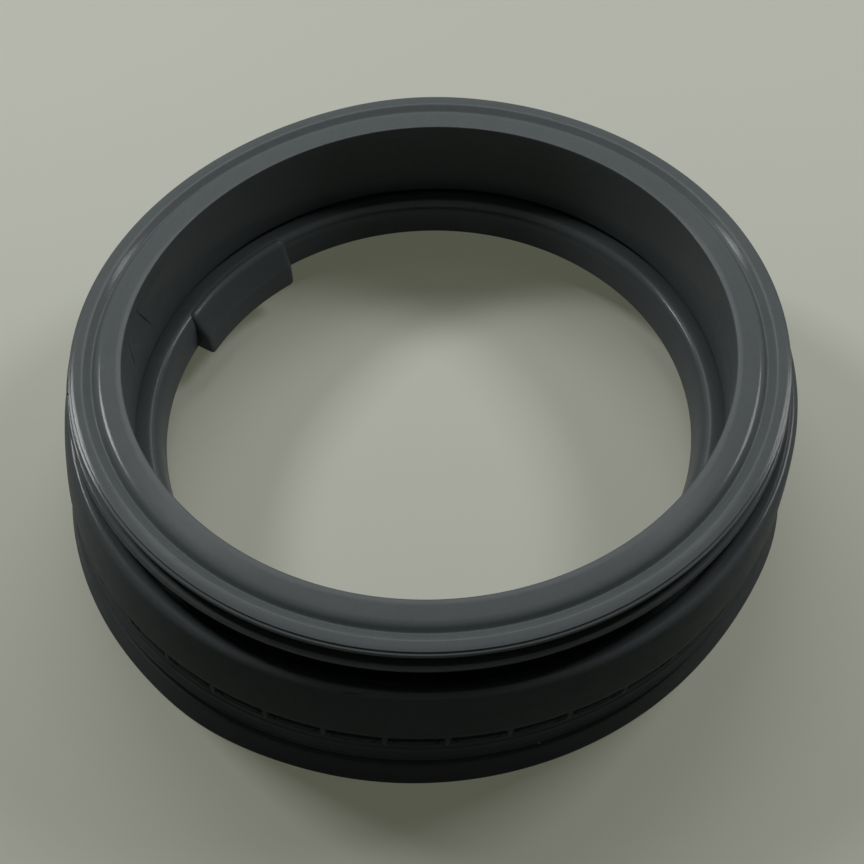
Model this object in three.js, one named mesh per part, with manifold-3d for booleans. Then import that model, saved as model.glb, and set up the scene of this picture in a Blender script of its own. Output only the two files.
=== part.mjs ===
// Washing machine door seal: one moulded rubber bellows between the door opening and the tub.
// It stands on the flat underside of its tub flange, with the door flange on top.
// Millimetres. +Z points from the tub towards the door, and the origin is the centre of the tub
// flange on the plane that it stands on.
import * as THREE from "three";
import { mergeVertices } from "three/addons/utils/BufferGeometryUtils.js";
import Module from "manifold-3d";

// Whole seal
const sealHeight = 97;
const openingRadius = 145.4; // inner edge of the door flange
const wall = 3; // the moulded sheet
const facets = 72; // round the ring
const softFaces = 2; // on a wide rounding; a small one has a single face

// The door opening's centre lies to one side of the tub's, and the inner lip's lies between them
const doorOffset = 9.4;
const lipOffset = 3.4;

// Door flange, with the sealing groove in its face and the thin rim at its edge
const flangeWidth = 25.2;
const flangeThickness = 3.5;
const grooveInset = 11.8; // from the opening to the groove's steep side
const grooveRound = 1.5; // over its inner edge
const grooveDraft = 1;
const grooveDepth = 2.6;
const grooveFloor = 1.8;
const grooveSlope = 3.6; // from its floor out to the face
const rimWidth = 1.3;
const rimDrop = 0.8;

// Seat of the front clamp, and the second flange below it
const clampGap = 4.5;
const clampDepth = 8;
const ridgeThickness = 3.7;
const ridgeReach = 2.3; // past the door flange
const ridgeRound = 1.4;

// Neck down to the fold, and the recess behind it
const neckSplay = 5.1;
const foldHeight = 46.5; // underside of the fold, above the floor
const foldRound = 2.4;
const recessWidth = 14;

// Outer bulge
const crestDrop = 22.2; // from the door face to the bulge's crest
const crestReach = 26.1; // from the opening to the crest's inner side
const crestWidth = 8.2;
const crestRound = 4;
const crestSolid = 9; // rubber above the hollow of the bulge
const bulgeFlare = 4.8; // from the crest's outer side to the lower edge
const bulgeCrown = 0.5; // how far the face swells
const bulgeDrop = 4.1; // lower edge below the fold

// Web and the lip that hangs round the clear hole
const slitGap = 1.5; // between the fold and the web
const gutterDrop = 2.5;
const lipReach = 7.5; // in from the door flange's opening
const lipDepth = 21.7; // from the fold down to the lip's edge
const lipTaper = 1.6;
const lipRound = 6;

// Wall down to the tub flange
const stepDepth = 3.4; // under the bulge's edge
const stepDraft = 0.9;
const bandFlare = 4.1;
const creaseDepth = 3.3;
const creaseHeight = 5;
const footHeight = 15.6;
const footFlare = 2.9;
const footReach = 0.9; // cone's top past the band's edge
const footWidth = 6;
const edgeRound = 0.8;

// Ribs under the bulge's edge
const ribCount = 42;
const ribWidth = 2.8;
const ribHeight = 8;
const ribStart = -88.7; // degrees round from +X
const ribInset = 0.3; // back from the bulge's edge
const ribSeat = 0.75; // how far it is sunk into the bulge

// Pad moulded on the lip
const padStart = 124.5; // degrees round from +X
const padSweep = 30.5;
const padReach = 7.2; // in from the lip's edge
const padHeight = 16; // of its upright face
const padDrop = 2.8; // below the lip's edge
const padSectors = 4; // straight sides of the sector that it is cut with

// Heights and radii that follow from these sizes
const doorRim = openingRadius + flangeWidth;
const grooveEdge = openingRadius + grooveInset;
const clampTop = sealHeight - flangeThickness;
const ridgeTop = clampTop - clampGap;
const ridgeUnder = ridgeTop - ridgeThickness;
const neckFoot = openingRadius + neckSplay;
const recessInner = neckFoot + wall;
const recessOuter = recessInner + recessWidth;
const recessFloor = foldHeight + wall;
const crestHeight = sealHeight - crestDrop;
const crestInner = openingRadius + crestReach;
const crestOuter = crestInner + crestWidth;
const bulgeEdge = crestOuter + bulgeFlare;
const bulgeEdgeHeight = foldHeight - bulgeDrop;
const bandTop = bulgeEdge - stepDepth;
const bandTopHeight = bulgeEdgeHeight - stepDraft;
const bandFoot = bandTop + bandFlare;
const bandFootHeight = footHeight + creaseHeight;
const creaseBottom = bandFoot - creaseDepth;
const footTop = bandFoot + footReach;
const footEdge = footTop + footFlare;
const lipRadius = openingRadius - lipReach;
const lipTop = lipRadius + lipTaper;
const lipEdgeHeight = foldHeight - lipDepth;
const webTop = foldHeight - slitGap;
const gutterRadius = (lipTop + bandTop) / 2;
const gutterTop = webTop - gutterDrop;
const webEnd = bandTopHeight + wall;

const mergeDistance = 0.001; // points nearer than this are one

const wasm = await Module();
wasm.setup();

// A closed outline through corners [radius, height, rounding, faces]: each rounded corner is a curve
// that starts and ends that far from the corner, or half way to its neighbour where that is nearer.
function roundedOutline(corners) {
  const points = corners.map(([r, z]) => new THREE.Vector2(r, z));
  const outline = [];
  corners.forEach(([, , rounding = 0, faces = 1], i) => {
    const corner = points[i];
    const before = points.at(i - 1);
    const after = points[(i + 1) % points.length];
    const towards = (other) => {
      const reach = Math.min(rounding, corner.distanceTo(other) / 2);
      return corner.clone().add(other.clone().sub(corner).setLength(reach));
    };
    if (rounding === 0) {
      outline.push(corner);
      return;
    }
    const bend = new THREE.QuadraticBezierCurve(towards(before), corner, towards(after));
    outline.push(...bend.getPoints(faces));
  });
  return outline;
}

// The sideways offset of the ring's centre at a radius and height
function centreShift(radius, height) {
  const inner = THREE.MathUtils.clamp((bandTop - radius) / (bandTop - openingRadius), 0, 1);
  const above = height / sealHeight;
  return doorOffset * above + lipOffset * (1 - above) * inner;
}

// Moves every ring of a geometry on to the seal's leaning centre line
function lean(geometry) {
  const place = geometry.getAttribute("position");
  for (let i = 0; i < place.count; i += 1) {
    const radius = Math.hypot(place.getX(i), place.getY(i));
    place.setX(i, place.getX(i) + centreShift(radius, place.getZ(i)));
  }
  return geometry;
}

// A geometry as a solid that can be joined and cut
function solidFrom(geometry) {
  const bare = geometry.clone();
  bare.deleteAttribute("normal");
  bare.deleteAttribute("uv");
  const merged = mergeVertices(bare, mergeDistance);
  return new wasm.Manifold(
    new wasm.Mesh({
      numProp: 3,
      vertProperties: merged.getAttribute("position").array,
      triVerts: new Uint32Array(merged.index.array),
    }),
  );
}

// Turns an outline, given clockwise by its corners, round the Z axis
function ring(corners) {
  const outline = roundedOutline(corners).reverse();
  outline.push(outline[0].clone());
  return new THREE.LatheGeometry(outline, facets).rotateX(Math.PI / 2);
}

// The section of the whole seal, from the lip's edge up its inner face, out and back round
function sealSection() {
  const lip = [
    [lipRadius, lipEdgeHeight, edgeRound],
    [lipTop, foldHeight, lipRound, softFaces],
    [neckFoot - wall, webTop],
  ];
  const web = [
    [gutterRadius, gutterTop],
    [bulgeEdge - wall, webEnd, edgeRound],
  ];
  const bulgeHollow = [
    [(crestInner + crestOuter) / 2, crestHeight - crestSolid, edgeRound],
    [recessOuter + wall, foldHeight, foldRound],
  ];
  const neck = [
    [neckFoot, foldHeight, edgeRound],
    [openingRadius, sealHeight, edgeRound],
  ];
  const doorFace = [
    [grooveEdge, sealHeight, grooveRound, softFaces],
    [grooveEdge + grooveDraft, sealHeight - grooveDepth],
    [grooveEdge + grooveDraft + grooveFloor, sealHeight - grooveDepth],
    [grooveEdge + grooveDraft + grooveFloor + grooveSlope, sealHeight],
    [doorRim - rimWidth, sealHeight],
    [doorRim - rimWidth, sealHeight - rimDrop],
    [doorRim, sealHeight - rimDrop],
    [doorRim, clampTop, edgeRound],
  ];
  const clampSeat = [
    [doorRim - clampDepth, clampTop],
    [doorRim - clampDepth, ridgeTop],
    [doorRim + ridgeReach, ridgeTop, ridgeRound],
    [doorRim + ridgeReach, ridgeUnder, edgeRound],
  ];
  const recess = [
    [openingRadius + wall, ridgeUnder],
    [recessInner, recessFloor, foldRound],
    [recessOuter, recessFloor, foldRound],
  ];
  const bulge = [
    [crestInner, crestHeight, crestRound, softFaces],
    [crestOuter, crestHeight, crestRound, softFaces],
    [
      (crestOuter + bulgeEdge) / 2 + bulgeCrown,
      (crestHeight + bulgeEdgeHeight) / 2,
      (crestHeight - bulgeEdgeHeight) / 4,
    ],
    [bulgeEdge, bulgeEdgeHeight],
  ];
  const band = [
    [bandTop, bandTopHeight],
    [bandFoot, bandFootHeight],
    [creaseBottom, footHeight + creaseHeight / 2],
  ];
  const foot = [
    [footTop, footHeight],
    [footEdge, 0, edgeRound],
    [footEdge - footWidth, 0],
    [creaseBottom - wall, footHeight],
    [creaseBottom - wall, bandFootHeight],
  ];
  const underside = [
    [bandTop - wall, bandTopHeight, edgeRound],
    [gutterRadius, gutterTop - wall],
    [lipTop + wall, webTop - wall, edgeRound],
    [lipRadius + wall, lipEdgeHeight, edgeRound],
  ];
  return [lip, web, bulgeHollow, neck, doorFace, clampSeat, recess, bulge, band, foot, underside].flat();
}

// One rib: a gusset that runs from under the bulge's edge down to the band
function rib(angle) {
  const low = bandTopHeight - ribHeight;
  const lowRadius = bandTop + (bandFlare * ribHeight) / (bandTopHeight - bandFootHeight);
  const side = new THREE.Shape([
    new THREE.Vector2(bandTop - wall / 2, bulgeEdgeHeight + ribSeat),
    new THREE.Vector2(bulgeEdge - ribInset, bulgeEdgeHeight + ribSeat),
    new THREE.Vector2(bulgeEdge - ribInset, bulgeEdgeHeight),
    new THREE.Vector2(lowRadius, low),
    new THREE.Vector2(lowRadius - wall / 2, low),
  ]);
  return new THREE.ExtrudeGeometry(side, { depth: ribWidth, bevelEnabled: false })
    .translate(0, 0, -ribWidth / 2)
    .rotateX(Math.PI / 2)
    .rotateZ(angle);
}

// The pad: a thick ring on the lip's inner face, kept only over the pad's own sweep
function pad() {
  const face = lipRadius - padReach;
  const low = lipEdgeHeight - padDrop;
  const section = [
    [face, low, edgeRound],
    [face, low + padHeight, edgeRound],
    [lipTop + wall / 2, webTop],
    [lipRadius + wall / 2, low],
  ];
  const thick = ring(section);
  const sector = new THREE.Shape();
  const start = THREE.MathUtils.degToRad(padStart);
  const end = THREE.MathUtils.degToRad(padStart + padSweep);
  sector.absarc(0, 0, openingRadius + flangeWidth, start, end, false);
  sector.lineTo(0, 0);
  const wedge = new THREE.ExtrudeGeometry(sector, {
    depth: sealHeight,
    bevelEnabled: false,
    curveSegments: padSectors,
  });
  return solidFrom(lean(thick)).intersect(solidFrom(lean(wedge)));
}

let seal = solidFrom(lean(ring(sealSection())));
for (let i = 0; i < ribCount; i += 1) {
  const angle = THREE.MathUtils.degToRad(ribStart + (360 * i) / ribCount);
  seal = seal.add(solidFrom(lean(rib(angle))));
}
seal = seal.add(pad());

const mesh = seal.getMesh();
const geometry = new THREE.BufferGeometry();
geometry.setAttribute("position", new THREE.BufferAttribute(mesh.vertProperties, 3));
geometry.setIndex(new THREE.BufferAttribute(mesh.triVerts, 1));
geometry.computeVertexNormals();

const rubber = new THREE.MeshStandardMaterial({ color: 0x4b5054, roughness: 0.6, metalness: 0 });
const doorSeal = new THREE.Mesh(geometry, rubber);
doorSeal.name = "door_seal";

const model = new THREE.Group();
model.add(doorSeal);
export default model;
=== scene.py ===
import math

import bpy
import numpy as np
from mathutils import Matrix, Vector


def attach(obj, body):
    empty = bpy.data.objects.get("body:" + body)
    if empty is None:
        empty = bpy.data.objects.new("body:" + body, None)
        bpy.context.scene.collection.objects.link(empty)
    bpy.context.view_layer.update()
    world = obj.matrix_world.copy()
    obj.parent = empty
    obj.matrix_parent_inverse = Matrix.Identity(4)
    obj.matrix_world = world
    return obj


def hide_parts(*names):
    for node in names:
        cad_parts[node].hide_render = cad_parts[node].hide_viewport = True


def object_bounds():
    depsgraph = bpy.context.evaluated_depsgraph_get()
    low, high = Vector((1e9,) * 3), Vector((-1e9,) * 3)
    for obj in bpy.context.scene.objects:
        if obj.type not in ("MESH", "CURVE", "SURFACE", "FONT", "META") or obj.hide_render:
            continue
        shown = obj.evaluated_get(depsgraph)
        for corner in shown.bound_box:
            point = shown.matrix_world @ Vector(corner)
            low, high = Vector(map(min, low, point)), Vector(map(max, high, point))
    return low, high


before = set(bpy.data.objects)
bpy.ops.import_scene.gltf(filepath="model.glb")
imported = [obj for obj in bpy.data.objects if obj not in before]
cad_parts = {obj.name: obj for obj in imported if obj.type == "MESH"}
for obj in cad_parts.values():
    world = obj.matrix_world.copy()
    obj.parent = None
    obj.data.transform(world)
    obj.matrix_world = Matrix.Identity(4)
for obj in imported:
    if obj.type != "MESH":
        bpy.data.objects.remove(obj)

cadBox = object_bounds()
mm = 0.001
print("frame loaded")

# The seal's sizes in millimetres, and angles in degrees round from +X. Heights are above the floor.
seal = dict(
    height=(cadBox[1].z - cadBox[0].z) / mm,   # 97 mm, from the frame
    opening=145.4,          # radius of the door flange's inner edge
    wall=3.0,
    doorOffset=9.4,         # the door opening's centre lies this far to one side of the tub's
    lipOffset=3.4,
    flangeWidth=25.2,
    flangeThickness=3.5,
    grooveInset=11.7,
    grooveRound=2.6,
    grooveDraft=2.6,
    grooveDepth=2.4,
    grooveFloor=0.6,
    grooveSlope=3.4,
    rimWidth=1.3,
    rimDrop=0.8,
    clampGap=4.5,
    clampDepth=8.0,
    ridgeThickness=3.7,
    ridgeReach=2.3,
    ridgeRound=1.4,
    neckSplay=5.1,
    foldHeight=46.5,
    foldRound=2.4,
    recessWidth=14.0,
    crestDrop=22.2,
    crestReach=26.1,
    crestWidth=8.2,
    crestRound=4.1,
    crestSolid=9.0,
    crestInnerDrop=1.6,     # the crest is this much lower on its inner side
    crestInnerRound=5.0,
    bulgeFlare=4.8,
    bulgeCrown=0.5,
    bulgeDrop=4.1,
    slitGap=2.4,            # open slit between the neck's foot and the web under it
    slitReach=0.5,
    gutterDrop=2.5,
    lipReach=7.5,
    lipDepth=21.7,
    lipTaper=1.6,
    lipRound=11.0,
    stepDepth=3.4,
    stepDraft=0.9,
    undercutDepth=4.0,      # hollow between the ribs, behind the band's top edge
    undercutHeight=7.6,
    undercutSlope=1.0,      # the hollow's ends slope by this much
    bandFlare=4.1,
    mouldLines=(31.6, 28.4),
    lineWidth=0.5,
    lineProud=0.14,
    beadHeight=1.3,
    beadProud=0.4,
    creaseDepth=3.3,
    creaseHeight=5.0,
    creaseRise=1.0,         # from the foot up to the crease's deepest line
    footHeight=15.6,
    footFlare=2.9,
    footReach=0.9,
    footWidth=6.0,
    edgeRound=0.8,
    softRound=0.9,          # where the groove's slopes meet the face
    fineRound=0.25,         # on the edges that the mould leaves crisp
    bloomFade=4.0,          # the bloom comes in over this much below the crest
    bloomInset=4.5,         # and covers what stands outside the band's top less this
    bendSteps=7,            # points along a large bend of the section
    longestStep=3.2,        # along the section
    columns=288,            # round the ring
)

# How the soft ring lies: the door flange and neck have slid a little sideways, and bulge outwards
# at some angles by a bell curve. Each bulge is its angle, its spread, and its reach at the door
# opening and at the flange's rim. The tub flange spreads on the floor in the same way.
slump = dict(
    slide=(-0.69, -0.45),
    door=((181.0, 34.0, 3.2, 3.2), (92.0, 20.0, 0.8, 2.3)),
    foot=((-18.0, 14.0, 3.7), (-125.0, 10.0, 1.1)),
)

# Heights and radii that follow from those sizes
level = dict(
    doorRim=seal["opening"] + seal["flangeWidth"],
    clampTop=seal["height"] - seal["flangeThickness"],
    neckFoot=seal["opening"] + seal["neckSplay"],
    recessFloor=seal["foldHeight"] + seal["wall"],
    crestHeight=seal["height"] - seal["crestDrop"],
    crestInner=seal["opening"] + seal["crestReach"],
    bulgeEdgeHeight=seal["foldHeight"] - seal["bulgeDrop"],
    bandFootHeight=seal["footHeight"] + seal["creaseHeight"],
    lipRadius=seal["opening"] - seal["lipReach"],
    lipEdgeHeight=seal["foldHeight"] - seal["lipDepth"],
    webTop=seal["foldHeight"] - seal["slitGap"],
)
level["ridgeTop"] = level["clampTop"] - seal["clampGap"]
level["ridgeUnder"] = level["ridgeTop"] - seal["ridgeThickness"]
level["recessInner"] = level["neckFoot"] + seal["wall"]
level["recessOuter"] = level["recessInner"] + seal["recessWidth"]
level["crestOuter"] = level["crestInner"] + seal["crestWidth"]
level["bulgeEdge"] = level["crestOuter"] + seal["bulgeFlare"]
level["bandTop"] = level["bulgeEdge"] - seal["stepDepth"]
level["bandTopHeight"] = level["bulgeEdgeHeight"] - seal["stepDraft"]
level["bandFoot"] = level["bandTop"] + seal["bandFlare"]
level["creaseBottom"] = level["bandFoot"] - seal["creaseDepth"]
level["footTop"] = level["bandFoot"] + seal["footReach"]
level["footEdge"] = level["footTop"] + seal["footFlare"]
level["lipTop"] = level["lipRadius"] + seal["lipTaper"]
level["gutterRadius"] = (level["lipTop"] + level["bandTop"]) / 2
level["gutterTop"] = level["webTop"] - seal["gutterDrop"]
level["webEnd"] = level["bandTopHeight"] + seal["wall"]

# How outlines take their points. Lengths are in millimetres.
crispBend, softBend = 0.3, 1.0      # roundings below which a bend is crisp, or soft
together = 1e-6                     # points nearer than this are one
slack = 1e-9                        # keeps a run of just one step from being cut in two


# A closed outline through corners [radius, height, rounding]. Each corner is a quadratic bend
# B(t) = (1-t)^2 start + 2t(1-t) corner + t^2 end, whose start and end lie that far along its two
# sides, or half way to the neighbour where that is nearer. Small bends take fewer points: t is
# rounded to halves on crisp ones and to quarters on soft ones, and points together are merged.
def roundedOutline(corners, steps):
    data = np.array([(tuple(c) + (0.0,))[:3] for c in corners])
    corner, rounding = data[:, :2], data[:, 2]

    def towards(other):
        side = other - corner
        length = np.linalg.norm(side, axis=1)
        return corner + side * (np.minimum(rounding, length / 2) / length)[:, None]

    start = towards(np.roll(corner, 1, 0))[:, None]
    end = towards(np.roll(corner, -1, 0))[:, None]
    parts = np.where(rounding < crispBend, 2, np.where(rounding < softBend, 4, steps - 1))
    parts = parts[:, None, None]
    t = np.round(np.linspace(0, 1, steps)[None, :, None] * parts) / parts
    bend = (1 - t) ** 2 * start + 2 * t * (1 - t) * corner[:, None] + t ** 2 * end
    outline = bend.reshape(-1, 2)
    return outline[np.linalg.norm(outline - np.roll(outline, 1, 0), axis=1) > together]


# The same closed outline with its straight runs divided, so that no step is longer than longest.
# A run of length d takes d / longest parts, rounded up.
def divided(outline, longest):
    after = np.roll(outline, -1, 0)
    parts = np.ceil(np.linalg.norm(after - outline, axis=1) / longest - slack).astype(int)
    owner = np.repeat(np.arange(len(outline)), parts)
    first = np.repeat(np.cumsum(parts) - parts, parts)
    share = (np.arange(len(owner)) - first) / parts[owner]
    return outline[owner] + (after - outline)[owner] * share[:, None]


# Where a ring point stands, in metres. The ring's centre moves sideways with height, and the lip's
# a little more. The slump then moves the door flange fully and the neck by its height above the
# fold, and the tub flange by its depth below the crease. A bell curve is exp(-(turn / spread)^2).
def placed(radius, height, angle):
    s, v = seal, level
    inner = np.clip((v["bandTop"] - radius) / (v["bandTop"] - s["opening"]), 0, 1)
    above = np.clip(height / s["height"], 0, 1)
    shift = s["doorOffset"] * above + s["lipOffset"] * (1 - above) * inner

    def bell(place, spread):
        turn = (np.degrees(angle) - place + 180) % 360 - 180
        return np.exp(-((turn / spread) ** 2))

    upper = np.clip((height - s["foldHeight"]) / (v["ridgeUnder"] - s["foldHeight"]), 0, 1)
    near = np.clip((v["recessOuter"] - radius) / s["recessWidth"], 0, 1)
    door = np.where(height >= v["ridgeUnder"] - s["edgeRound"], 1.0, upper * near)
    across = np.clip((radius - s["opening"]) / s["flangeWidth"], 0, 1)
    out = radius
    for place, spread, reachInner, reachOuter in slump["door"]:
        out = out + door * bell(place, spread) * (reachInner + (reachOuter - reachInner) * across)
    low = np.clip(1 - height / v["bandFootHeight"], 0, 1)
    for place, spread, reach in slump["foot"]:
        out = out + low * bell(place, spread) * reach
    x = out * np.cos(angle) + shift + slump["slide"][0] * door
    y = out * np.sin(angle) + slump["slide"][1] * door
    return np.stack([x, y, height + 0 * angle], -1) * mm


# A mesh from a grid of points, rows by columns, with quads between neighbours. Rows and columns
# each close on themselves where closed says so. The UV map holds how far each grid line lies along
# the rows and along the columns, in metres.
def gridMesh(name, points, closed, uv=None):
    rows, columns = points.shape[:2]
    row = np.arange(rows if closed[0] else rows - 1)
    column = np.arange(columns if closed[1] else columns - 1)
    row, column = [a.ravel() for a in np.meshgrid(row, column, indexing="ij")]
    cornerRow = np.stack([row, row + 1, row + 1, row], 1)
    cornerColumn = np.stack([column, column, column + 1, column + 1], 1)
    loops = (cornerRow % rows) * columns + cornerColumn % columns
    mesh = bpy.data.meshes.new(name)
    mesh.vertices.add(rows * columns)
    mesh.vertices.foreach_set("co", points.reshape(-1))
    mesh.loops.add(loops.size)
    mesh.loops.foreach_set("vertex_index", loops.ravel())
    mesh.polygons.add(len(loops))
    mesh.polygons.foreach_set("loop_start", np.arange(0, loops.size, 4))
    mesh.update(calc_edges=True)
    if uv is not None:
        layer = mesh.uv_layers.new(name="ring")
        values = np.stack([uv[1][cornerColumn], uv[0][cornerRow]], -1)
        layer.data.foreach_set("uv", values.reshape(-1))
    mesh.validate()
    return mesh


# A finished piece: smooth faces with crisp edges past an angle, on the root body in place of the
# frame's door_seal part, which it hides. bloom says where the rubber is matt, from 0 to 1.
def piece(name, mesh, material, crisp=32.0, bloom=None):
    if bloom is not None:
        share = np.broadcast_to(bloom, len(mesh.vertices)).astype(np.float32)
        mesh.attributes.new("bloom", "FLOAT", "POINT").data.foreach_set("value", share)
    mesh.polygons.foreach_set("use_smooth", np.ones(len(mesh.polygons), bool))
    mesh.set_sharp_from_angle(angle=math.radians(crisp))
    mesh.materials.append(material)
    made = bpy.data.objects.new(name, mesh)
    bpy.context.scene.collection.objects.link(made)
    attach(made, "root")
    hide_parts("door_seal")


# Linear colour from an sRGB hex value: ((c + 0.055) / 1.055)^2.4, or c / 12.92 in the darkest tones
def linear(code):
    srgb = np.array([int(code[i:i + 2], 16) for i in (1, 3, 5)]) / 255
    value = np.where(srgb <= 0.04045, srgb / 12.92, ((srgb + 0.055) / 1.055) ** 2.4)
    return (*value.tolist(), 1.0)


# Adds a node with its settings. inputs gives each socket's value, or the output it is linked to.
def addNode(tree, kind, inputs=(), **settings):
    node = tree.nodes.new(kind)
    for key, value in settings.items():
        setattr(node, key, value)
    for key, value in dict(inputs).items():
        if isinstance(value, bpy.types.NodeSocket):
            tree.links.new(value, node.inputs[key])
        else:
            node.inputs[key].default_value = value
    return node


# EPDM rubber, compression moulded: a soft satin skin with a very fine grain from the mould, faint
# cloudy patches where it cooled, and a matt bloom on the outside. Sizes are in millimetres.
rubber = dict(
    shade="#575d5f",
    cloud="#545a5c",
    cloudSize=38.0,
    cloudRange=(0.35, 0.65),
    fleckSize=2.2,
    fleckTone=(0.96, 1.04),
    patchSize=8.8,          # of the patches that are smoother or rougher
    noiseRange=(0.3, 0.7),
    cloudDetail=3.0,
    toneDetail=2.0,
    bumpDetail=1.0,
    grainSize=0.7,
    grainDepth=0.012,
    rippleSize=9.0,
    rippleDepth=0.006,
    roughness=(0.5, 0.6),
    sheen=0.12,             # strength of the matt body's own reflection
    ior=1.5,
    skin=0.22,              # share of the surface with the smoother moulded skin
    skinRoughness=0.13,
    bloom=0.75,             # how much of sheen and skin the bloom takes away
)


# The tone mixes shade and cloud by a broad noise and is multiplied by a fine one. The roughness
# follows a noise between the two, and the bumps are a fine grain on a slow ripple.
def mouldedRubber():
    material = bpy.data.materials.new("EPDM rubber, grey, moulded satin")
    material.use_nodes = True
    tree = material.node_tree
    shader = tree.nodes["Principled BSDF"]
    place = addNode(tree, "ShaderNodeTexCoord").outputs["Object"]

    def noise(size, detail=rubber["toneDetail"]):
        inputs = {"Vector": place, "Scale": 1 / (size * mm), "Detail": detail}
        return addNode(tree, "ShaderNodeTexNoise", inputs).outputs["Fac"]

    def ranged(value, before=(0, 1), after=(0, 1)):
        return addNode(tree, "ShaderNodeMapRange", {
            "Value": value, "From Min": before[0], "From Max": before[1],
            "To Min": after[0], "To Max": after[1]}).outputs[0]

    cloud = ranged(noise(rubber["cloudSize"], rubber["cloudDetail"]), rubber["cloudRange"])
    fleck = ranged(noise(rubber["fleckSize"]), rubber["noiseRange"], rubber["fleckTone"])
    tone = addNode(tree, "ShaderNodeMix", {
        0: cloud, 6: linear(rubber["shade"]), 7: linear(rubber["cloud"])}, data_type="RGBA")
    flecked = addNode(tree, "ShaderNodeVectorMath", {
        0: tone.outputs[2], 1: fleck}, operation="MULTIPLY")
    tree.links.new(flecked.outputs[0], shader.inputs["Base Color"])

    satin = ranged(noise(rubber["patchSize"]), rubber["noiseRange"], rubber["roughness"])
    tree.links.new(satin, shader.inputs["Roughness"])
    shader.inputs["IOR"].default_value = rubber["ior"]
    bloom = addNode(tree, "ShaderNodeAttribute", attribute_name="bloom").outputs["Fac"]
    for socket, full in (("Specular IOR Level", rubber["sheen"]), ("Coat Weight", rubber["skin"])):
        share = ranged(bloom, after=(full, full * (1 - rubber["bloom"])))
        tree.links.new(share, shader.inputs[socket])
    shader.inputs["Coat Roughness"].default_value = rubber["skinRoughness"]
    shader.inputs["Coat IOR"].default_value = rubber["ior"]

    ripple = addNode(tree, "ShaderNodeBump", {
        "Height": noise(rubber["rippleSize"], rubber["bumpDetail"]),
        "Distance": rubber["rippleDepth"] * mm})
    grain = addNode(tree, "ShaderNodeBump", {
        "Height": noise(rubber["grainSize"], rubber["bumpDetail"]),
        "Distance": rubber["grainDepth"] * mm, "Normal": ripple.outputs[0]})
    tree.links.new(grain.outputs[0], shader.inputs["Normal"])
    tree.links.new(grain.outputs[0], shader.inputs["Coat Normal"])
    return material


rubberFinish = mouldedRubber()
print("rubber made")


# Radius of the band's outer face at a height, on the straight line between its two ends
def bandRadius(height):
    share = (level["bandTopHeight"] - height) / (level["bandTopHeight"] - level["bandFootHeight"])
    return level["bandTop"] + seal["bandFlare"] * share


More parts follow.
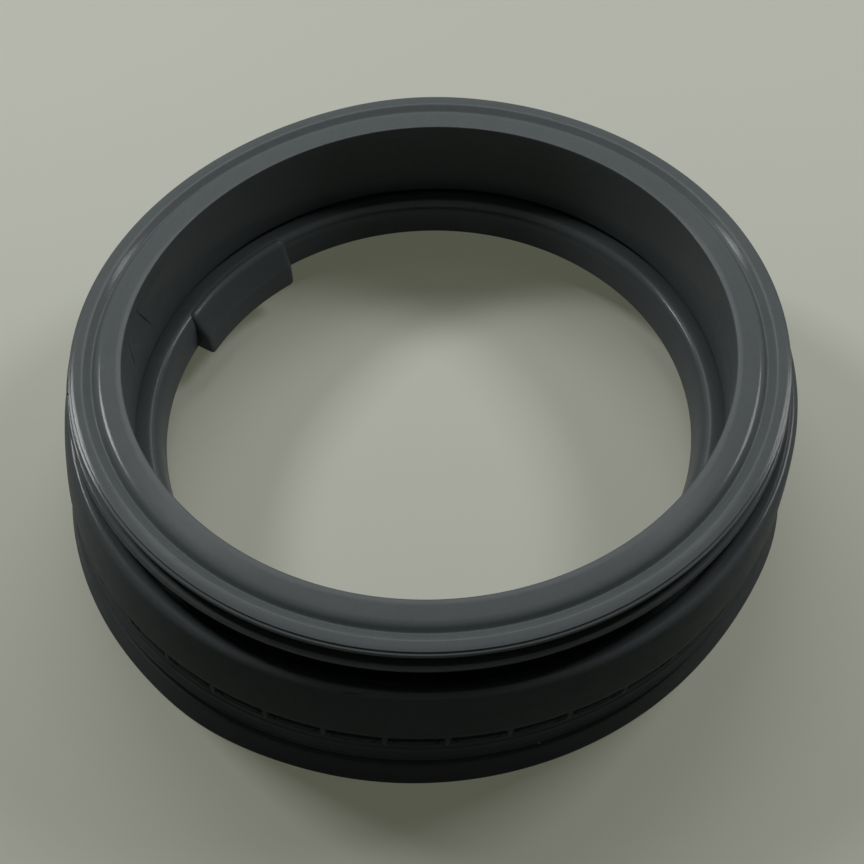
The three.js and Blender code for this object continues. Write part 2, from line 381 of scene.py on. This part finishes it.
# The seal's section as corners [radius, height, rounding], clockwise from the lip's edge
def sealSection():
    s, v = seal, level
    edge, fine, fold = s["edgeRound"], s["fineRound"], s["foldRound"]
    lip = [
        (v["lipRadius"], v["lipEdgeHeight"], edge),
        (v["lipTop"], s["foldHeight"], s["lipRound"]),
        (v["neckFoot"] + s["slitReach"], v["webTop"], s["slitReach"]),
    ]
    web = [
        (v["gutterRadius"], v["gutterTop"]),
        (v["bulgeEdge"] - s["wall"], v["webEnd"], edge),
    ]
    bulgeHollow = [
        ((v["crestInner"] + v["crestOuter"]) / 2, v["crestHeight"] - s["crestSolid"], edge),
        (v["recessOuter"] + s["wall"], s["foldHeight"], fold),
    ]
    neck = [
        (v["neckFoot"], s["foldHeight"], edge),
        (s["opening"], s["height"], edge),
    ]
    groove = s["opening"] + s["grooveInset"]
    grooveFloor = groove + s["grooveDraft"] + s["grooveFloor"]
    doorFace = [
        (groove, s["height"], s["grooveRound"]),
        (groove + s["grooveDraft"], s["height"] - s["grooveDepth"], s["softRound"]),
        (grooveFloor, s["height"] - s["grooveDepth"], s["softRound"]),
        (grooveFloor + s["grooveSlope"], s["height"], s["softRound"]),
        (v["doorRim"] - s["rimWidth"], s["height"], fine),
        (v["doorRim"] - s["rimWidth"], s["height"] - s["rimDrop"], fine),
        (v["doorRim"], s["height"] - s["rimDrop"], fine),
        (v["doorRim"], v["clampTop"], edge),
    ]
    clampSeat = [
        (v["doorRim"] - s["clampDepth"], v["clampTop"], edge),
        (v["doorRim"] - s["clampDepth"], v["ridgeTop"], edge),
        (v["doorRim"] + s["ridgeReach"], v["ridgeTop"], s["ridgeRound"]),
        (v["doorRim"] + s["ridgeReach"], v["ridgeUnder"], edge),
    ]
    recess = [
        (s["opening"] + s["wall"], v["ridgeUnder"], edge),
        (v["recessInner"], v["recessFloor"], fold),
        (v["recessOuter"], v["recessFloor"], fold),
    ]
    faceDrop = v["crestHeight"] - v["bulgeEdgeHeight"]
    bulge = [
        (v["crestInner"], v["crestHeight"] - s["crestInnerDrop"], s["crestInnerRound"]),
        (v["crestOuter"], v["crestHeight"], s["crestRound"]),
        ((v["crestOuter"] + v["bulgeEdge"]) / 2 + s["bulgeCrown"],
         v["bulgeEdgeHeight"] + faceDrop / 2, faceDrop / 4),
        (v["bulgeEdge"], v["bulgeEdgeHeight"], fine),
    ]
    undercut = v["bandTop"] - s["undercutDepth"]
    bandStart = v["bandTopHeight"] - s["undercutHeight"]
    half = s["lineWidth"] / 2
    lines = [(bandRadius(at + side * half) + (side == 0) * s["lineProud"], at + side * half)
             for at in s["mouldLines"] for side in (1, 0, -1)]
    bead = v["bandFootHeight"] + s["beadHeight"]
    band = [
        (undercut, v["bandTopHeight"], fine),
        (undercut, bandStart + s["undercutSlope"], fine),
        (bandRadius(bandStart), bandStart, fine),
        *lines,
        (bandRadius(bead), bead),
        (bandRadius(bead) + s["beadProud"], bead - s["beadProud"]),
        (v["bandFoot"] + s["beadProud"], v["bandFootHeight"], fine),
        (v["creaseBottom"], s["footHeight"] + s["creaseRise"], fine),
    ]
    innerFoot = v["creaseBottom"] - s["wall"]
    foot = [
        (v["footTop"], s["footHeight"], fine),
        (v["footEdge"], 0, edge),
        (v["footEdge"] - s["footWidth"], 0, fine),
        (innerFoot, s["footHeight"], fine),
        (innerFoot, v["bandFootHeight"], fine),
    ]
    underside = [
        (innerFoot, bandStart - s["wall"], edge),
        (undercut - s["wall"], bandStart - s["undercutSlope"], edge),
        (undercut - s["wall"], v["bandTopHeight"] - s["undercutSlope"], edge),
        (v["gutterRadius"], v["gutterTop"] - s["wall"]),
        (v["lipTop"] + s["wall"], v["webTop"] - s["wall"], edge),
        (v["lipRadius"] + s["wall"], v["lipEdgeHeight"], edge),
    ]
    doorSide = lip + web + bulgeHollow + neck + doorFace
    return doorSide + clampSeat + recess + bulge + band + foot + underside


# The section is carried once round the ring: rows go along the section, columns round the ring
def sealBody():
    outline = divided(roundedOutline(sealSection(), seal["bendSteps"]), seal["longestStep"])[::-1]
    turn = np.linspace(0, 2 * np.pi, seal["columns"] + 1)
    angle = np.broadcast_to(turn[None, :-1], (len(outline), seal["columns"]))
    radius, height = outline[:, :1], outline[:, 1:]
    points = placed(radius, height, angle)
    step = np.linalg.norm(np.roll(outline, -1, 0) - outline, axis=1)
    along = np.concatenate([[0], np.cumsum(step)]) * mm
    around = turn * seal["opening"] * mm
    mesh = gridMesh("sealBody", points, (True, True), uv=(along, around))
    below = np.clip((level["crestHeight"] - height) / seal["bloomFade"], 0, 1)
    matt = below * (radius > level["bandTop"] - seal["bloomInset"])
    print("seal section", len(outline), "points,", 2 * len(mesh.polygons), "triangles")
    piece("sealBody", mesh, rubberFinish, bloom=np.repeat(matt, seal["columns"]))


sealBody()


# A rounded block of half size 1: points p on a ball are pressed outwards to
# p / (|x|^n + |y|^n + |z|^n)^(1/n), which gives flat faces and round edges as the power n grows
def roundedBlock(rows, columns, power):
    u = np.linspace(-np.pi / 2, np.pi / 2, rows + 2)[1:-1, None]
    w = np.linspace(0, 2 * np.pi, columns + 1)[None, :-1]
    ball = np.stack([np.cos(u) * np.cos(w), np.cos(u) * np.sin(w), np.sin(u) + 0 * w], -1)
    return ball / (np.abs(ball) ** power).sum(-1, keepdims=True) ** (1 / power)


# One mesh of all the copies, each a grid of rings whose two ends are closed by a point
def blockMesh(name, copies):
    rows, columns = copies.shape[1:3]
    verts, faces = [], []
    row, column = np.meshgrid(np.arange(rows - 1), np.arange(columns), indexing="ij")
    row, column = row.ravel(), column.ravel()
    after = (column + 1) % columns
    quads = np.stack([row * columns + column, row * columns + after,
                      (row + 1) * columns + after, (row + 1) * columns + column], 1)
    ringNow = np.arange(columns)
    ringNext = (ringNow + 1) % columns
    low, high = rows * columns, rows * columns + 1
    bottom = np.stack([np.full(columns, low), ringNext, ringNow], 1)
    last = (rows - 1) * columns
    top = np.stack([np.full(columns, high), last + ringNow, last + ringNext], 1)
    for index, grid in enumerate(copies):
        base = index * (rows * columns + 2)
        verts.append(np.vstack([grid.reshape(-1, 3), grid[0].mean(0), grid[-1].mean(0)]))
        faces += (quads + base).tolist() + (bottom + base).tolist() + (top + base).tolist()
    # The first block's volume goes with the sum of a . (b x c) over its faces, each by three of its
    # corners. It is positive when the faces look outwards, and else they are turned round.
    corners = np.array([verts[0][face[:3]] for face in faces[:len(quads) + 2 * columns]])
    a, b, c = (corners - verts[0].mean(0)).swapaxes(0, 1)
    if np.einsum("ij,ij", a, np.cross(b, c)) < 0:
        faces = [face[::-1] for face in faces]
    mesh = bpy.data.meshes.new(name)
    mesh.from_pydata(np.vstack(verts), [], faces)
    mesh.validate()
    return mesh


# The ribs under the bulge's edge. Each is a short tab with a rounded foot.
ribs = dict(
    count=42,
    start=-88.7,
    width=2.3,
    widthTop=4.2,
    height=9.5,
    inset=0.15,             # of its outer face at the top, behind the bulge's edge
    footHang=0.9,           # how far the foot stands out from the band
    sunkTop=0.6,            # into the bulge above it
    sunkBack=0.8,           # into the band behind it
    grid=(11, 18),
    power=3.4,
)
ribAngles = np.radians(ribs["start"] + 360 * np.arange(ribs["count"]) / ribs["count"])
ribAngles = ribAngles[:, None, None]
ribFoot = level["bandTopHeight"] - ribs["height"]


# The outer face leaves the band at the foot and reaches the bulge's edge above it, by the curve
# sin(share * 90 degrees), and the tab widens towards the top with the cube of its height
def tubRibs():
    block = roundedBlock(*ribs["grid"], ribs["power"])[None]
    across, deep, tall = block[..., 0], block[..., 1], block[..., 2]
    top = level["bulgeEdgeHeight"] + ribs["sunkTop"]
    share = (tall + 1) / 2
    height = ribFoot + (top - ribFoot) * share
    faceLow = bandRadius(ribFoot) + ribs["footHang"]
    faceTop = level["bulgeEdge"] - ribs["inset"]
    back = bandRadius(height) - ribs["sunkBack"]
    face = faceLow + (faceTop - faceLow) * np.sin(share * np.pi / 2)
    radius = back + (face - back) * (deep + 1) / 2
    width = ribs["width"] + (ribs["widthTop"] - ribs["width"]) * share ** 3
    turn = ribAngles + across * width / 2 / level["bulgeEdge"]
    tabs = placed(radius, height + 0 * turn, turn)
    piece("tubRibs", blockMesh("tubRibs", tabs), rubberFinish, crisp=60.0, bloom=1)


# The small raised dashes on the band, one at either side of each rib's foot
dashes = dict(
    away=4.2,               # from the rib's middle
    rise=1.2,               # above the rib's foot
    length=2.4,
    width=1.1,
    proud=0.6,
    tilt=35.0,
    grid=(5, 10),
    power=3.0,
)


# Each dash is a rounded block, turned by its tilt on the band and mirrored at the rib
def ribDashes():
    block = roundedBlock(*dashes["grid"], dashes["power"])[None]
    tilt = math.radians(dashes["tilt"])
    along = block[..., 0] * dashes["length"] / 2
    up = block[..., 2] * dashes["width"] / 2
    height = ribFoot + dashes["rise"] - along * math.sin(tilt) + up * math.cos(tilt)
    radius = bandRadius(height) + block[..., 1] * dashes["proud"]
    made = []
    for side in (-1, 1):
        sideways = side * (dashes["away"] + along * math.cos(tilt)) + up * math.sin(tilt)
        turn = ribAngles + sideways / level["bandTop"]
        made.append(placed(radius, height + 0 * turn, turn))
    mesh = blockMesh("ribDashes", np.concatenate(made))
    piece("ribDashes", mesh, rubberFinish, crisp=60.0, bloom=1)


tubRibs()
ribDashes()
print("ribs made")

# The thick pad moulded on the lip's inner face. It laps the lip's shoulder.
pad = dict(
    start=124.5,
    sweep=30.5,
    reachLow=7.5,           # in front of the lip's edge, at the pad's foot
    reachBevel=5.7,         # and at the bevel, above which the pad leans back
    reachTop=0.4,           # of the top's front edge behind the lip's top
    lapTop=1.5,             # of the top's back edge behind the lip's back
    low=18.0,
    lowBack=20.0,
    bevel=31.0,
    topFront=45.6,
    topBack=45.4,
    edgeRound=1.2,
    backRound=1.0,
    topRound=3.4,
    rootHeight=29.9,
    endRound=4.0,
    endScale=0.72,          # size of the section at the very end
    endPower=2.6,
    bendSteps=6,
    longestStep=2.0,
    columns=96,
)


# The pad's section is carried along its sweep. Near each end it shrinks towards its own root on
# the lip by the curve sqrt(1 - share^power), close to a quarter circle, which rounds the end over.
def lipPad():
    edge, top = pad["edgeRound"], pad["topRound"]
    back = level["lipTop"] + seal["wall"]
    corners = [
        (level["lipRadius"] - pad["reachLow"], pad["low"], edge),
        (level["lipRadius"] - pad["reachBevel"], pad["bevel"], edge),
        (level["lipTop"] + pad["reachTop"], pad["topFront"], top),
        (back + pad["lapTop"], pad["topBack"], top),
        (level["lipRadius"] + seal["wall"] / 2, pad["lowBack"], pad["backRound"]),
    ]
    outline = divided(roundedOutline(corners, pad["bendSteps"]), pad["longestStep"])[::-1]
    half = math.radians(pad["sweep"]) * level["lipRadius"] / 2
    along = np.sin(np.linspace(-1, 1, pad["columns"]) * np.pi / 2) * half
    share = np.clip((np.abs(along) - (half - pad["endRound"])) / pad["endRound"], 0, 1)
    grow = np.sqrt(1 - share ** pad["endPower"])[:, None, None]
    root = np.array([level["lipTop"] + seal["wall"] / 2, pad["rootHeight"]])
    scale = pad["endScale"] + (1 - pad["endScale"]) * grow
    section = root + (outline[None] - root) * scale
    turn = np.radians(pad["start"] + pad["sweep"] / 2) + along[:, None] / level["lipRadius"]
    angle = np.broadcast_to(turn, section.shape[:2])
    points = placed(section[..., 0], section[..., 1], angle)
    piece("lipPad", blockMesh("lipPad", points[None]), rubberFinish, crisp=40.0)


lipPad()
print("pad made")


# Directions of the seal's surface at an angle: straight out, and straight up
def outwards(angle):
    return np.stack([np.cos(angle), np.sin(angle), 0 * angle], 1)


def upwards(angle):
    return np.stack([0 * angle, 0 * angle, 1 + 0 * angle], 1)


# A fine ridge along each path of [angle, radius, height] points. Its width and height follow
# sqrt(sin(180 degrees * share)), so it runs out at both ends, and its back is sunk in the rubber.
# normal gives the surface's direction at an angle.
def fineLines(name, look, normal, material):
    steps, sunk, tip = 17, 0.3 * mm, 0.02
    t = np.linspace(0, 1, steps)
    size = np.sqrt(np.sin(np.pi * np.clip(t, tip, 1 - tip)))[:, None]
    copies = []
    for path in look["paths"]:
        stops = np.array(path)
        at = np.linspace(0, 1, len(stops))
        angle, radius, height = [np.interp(t, at, stops[:, k]) for k in range(3)]
        angle = np.radians(angle)
        centre = placed(radius, height, angle)
        up = normal(angle)
        side = np.cross(np.gradient(centre, axis=0), up)
        side = side / np.linalg.norm(side, axis=1)[:, None] * look["width"] / 2 * mm * size
        lift, sink = up * look["proud"] * mm * size, up * sunk * size
        copies.append(np.stack([centre + side, centre + lift, centre - side, centre - sink], 1))
    piece(name, blockMesh(name, np.array(copies)), material, crisp=60.0)


# A small ball of rubber, half sunk in the surface: a rounded block of power 2 stays a ball
def knob(name, look, material):
    block = roundedBlock(rows=7, columns=12, power=2.0)
    centre = placed(np.array(look["radius"]), np.array(look["height"]), np.radians(look["angle"]))
    mesh = blockMesh(name, (centre + block * look["size"] * mm)[None])
    piece(name, mesh, material, crisp=60.0)


# Rubber of one plain shade, as matt as the seal's own
def plainRubber(name, shade):
    material = bpy.data.materials.new(name)
    material.use_nodes = True
    shader = material.node_tree.nodes["Principled BSDF"]
    shader.inputs["Base Color"].default_value = linear(shade)
    shader.inputs["Roughness"].default_value = rubber["roughness"][1]
    shader.inputs["Specular IOR Level"].default_value = rubber["sheen"]
    return material


# Flakes left by the mould's parting line, on the bulge's crest
flash = dict(
    paths=(((-103.5, 179.6, 73.0), (-101.2, 179.6, 73.1)),
           ((-98.1, 179.6, 72.7), (-97.5, 179.6, 72.7)),
           ((-95.5, 179.6, 72.6), (-94.9, 179.6, 72.6)),
           ((-89.4, 179.6, 72.5), (-88.8, 179.6, 72.5))),
    width=0.5,
    proud=0.35,
)
fineLines("partingFlash", flash,
          lambda angle: (outwards(angle) + upwards(angle)) / math.sqrt(2), rubberFinish)

# Two fine creases on the neck's inner wall, drawn as low ridges whose dark colour is painted shade
creases = dict(
    paths=(((170.6, 145.6, 95.8), (167.1, 147.2, 78.0), (164.0, 148.9, 61.6)),
           ((176.3, 145.6, 95.8), (175.8, 146.9, 82.0), (175.4, 148.3, 66.5))),
    width=0.6,
    proud=0.05,
    shade="#17191a",
)
# The creases' dark colour is painted shade, in place of the shade in their folds
fineLines("wallCreaseShade", creases, lambda angle: -outwards(angle),
          plainRubber("EPDM rubber, grey, painted crease shade", creases["shade"]))

# A pale scratch across the flange's rim
scratch = dict(
    paths=(((-165.8, 168.2, 97.0), (-164.8, 169.4, 97.0), (-163.9, 169.9, 97.0)),),
    width=0.35,
    proud=0.04,
    shade="#7d8687",
)
fineLines("faceScratch", scratch, upwards,
          plainRubber("EPDM rubber, grey, scuffed", scratch["shade"]))

# A nib of rubber on the band, and a burr on the flange's rim whose dark colour is painted shadow
nib = dict(angle=-75.4, radius=184.9, height=19.6, size=1.1)
# The burr's dark shade is painted shadow, for the shade it sits in on the rim
burr = dict(angle=-170.6, radius=170.7, height=95.6, size=0.6, shade="#17191a")
knob("mouldNib", nib, rubberFinish)
knob("rimBurr", burr, plainRubber("EPDM rubber, grey, burr in painted shadow", burr["shade"]))
print("marks made")

# Floor and backdrop
room = dict(
    floor="#bcbeb6",
    floorGlow=(0.083, 0.086, 0.062),    # lifts the floor's shadows for rays that show the floor
    bounce="#6e6f68",       # what the floor gives back to the seal
    floorRoughness=0.6,
    floorSheen=0.2,
    floorSize=2.6,          # in metres
    backdrop="#b9b9b4",
)


# One for rays that show the floor or backdrop itself, and zero for light on its way to the seal
def seenRays(tree):
    ray = addNode(tree, "ShaderNodeLightPath").outputs
    shown = addNode(tree, "ShaderNodeMath", {
        0: ray["Is Camera Ray"], 1: ray["Is Glossy Ray"]}, operation="MAXIMUM")
    return addNode(tree, "ShaderNodeMath", {
        0: shown.outputs[0], 1: ray["Is Transmission Ray"]}, operation="MAXIMUM").outputs[0]


# A flat square under the seal
def paleFloor():
    side = np.array([-0.5, 0.5]) * room["floorSize"]
    x, y = np.meshgrid(side, side, indexing="ij")
    mesh = gridMesh("floor", np.stack([x, y, 0 * x], -1), (False, False))
    mesh.flip_normals()
    material = bpy.data.materials.new("pale painted board, matt")
    material.use_nodes = True
    tree = material.node_tree
    shader = tree.nodes["Principled BSDF"]
    seen = seenRays(tree)
    colour = addNode(tree, "ShaderNodeMix", {
        0: seen, 6: linear(room["bounce"]), 7: linear(room["floor"])}, data_type="RGBA")
    tree.links.new(colour.outputs[2], shader.inputs["Base Color"])
    tree.links.new(seen, shader.inputs["Emission Strength"])
    shader.inputs["Emission Color"].default_value = (*room["floorGlow"], 1.0)
    shader.inputs["Roughness"].default_value = room["floorRoughness"]
    shader.inputs["Specular IOR Level"].default_value = room["floorSheen"]
    mesh.materials.append(material)
    floor = bpy.data.objects.new("floor", mesh)
    bpy.context.scene.collection.objects.link(floor)


# Each lamp: its plan angle and its rise in degrees, its two sides in metres, its power in watts
lamps = dict(
    leftLamp=(144, 46, 0.26, 0.2, 4.5),
    rightLamp=(26, 45, 0.36, 0.24, 4.0),
    backLamp=(90, 58, 0.8, 0.4, 3.4),
    topLamp=(90, 74, 0.5, 0.4, 0.2),
    frontLamp=(-90, 30, 0.6, 0.4, 0.15),
)
lampDistance = 1.25     # from each lamp to the seal, in metres


# An area lamp aimed at the frame's origin. Its axes are the way it comes from and two square to it.
def roomLamp(name, turn, rise, width, length, power):
    turn, rise = math.radians(turn), math.radians(rise)
    flat = math.cos(rise)
    back = np.array([flat * math.cos(turn), flat * math.sin(turn), math.sin(rise)])
    right = np.cross((0, 0, 1), back)
    right = right / np.linalg.norm(right)
    axes = np.column_stack([right, np.cross(back, right), back])
    light = bpy.data.lights.new(name, "AREA")
    light.shape = "RECTANGLE"
    light.size, light.size_y = width, length
    light.energy = power
    lamp = bpy.data.objects.new(name, light)
    place = (back * lampDistance).tolist()
    lamp.matrix_world = Matrix.LocRotScale(place, Matrix(axes.tolist()), None)
    bpy.context.scene.collection.objects.link(lamp)


# The backdrop shows its colour and gives no light to the seal
def paleWorld():
    world = bpy.data.worlds.new("room")
    world.use_nodes = True
    backdrop = world.node_tree.nodes["Background"]
    backdrop.inputs["Color"].default_value = linear(room["backdrop"])
    world.node_tree.links.new(seenRays(world.node_tree), backdrop.inputs["Strength"])
    bpy.context.scene.world = world


paleFloor()
for lampName, lampSettings in lamps.items():
    roomLamp(lampName, *lampSettings)
paleWorld()

# The camera stands where the photograph was taken from. Its place and clip are in metres.
view = dict(
    place=(0.00804, -0.37892, 0.54016),
    right=(0.9989434, -0.03627034, -0.02822298),
    up=(0.04592124, 0.81208982, 0.58172276),
    lens=50.217,
    sensor=36.0,
    nearest=0.01,
)


# The camera looks along the line square to its right and up directions
def photoCamera():
    data = bpy.data.cameras.new("camera")
    data.sensor_width = view["sensor"]
    data.lens = view["lens"]
    data.clip_start = view["nearest"]
    camera = bpy.data.objects.new("camera", data)
    turn = np.column_stack([view["right"], view["up"], np.cross(view["right"], view["up"])])
    camera.matrix_world = Matrix.LocRotScale(view["place"], Matrix(turn.tolist()), None)
    bpy.context.scene.collection.objects.link(camera)
    bpy.context.scene.camera = camera


photoCamera()
bpy.context.scene.view_settings.view_transform = "Standard"
print("floor, lights and camera set")
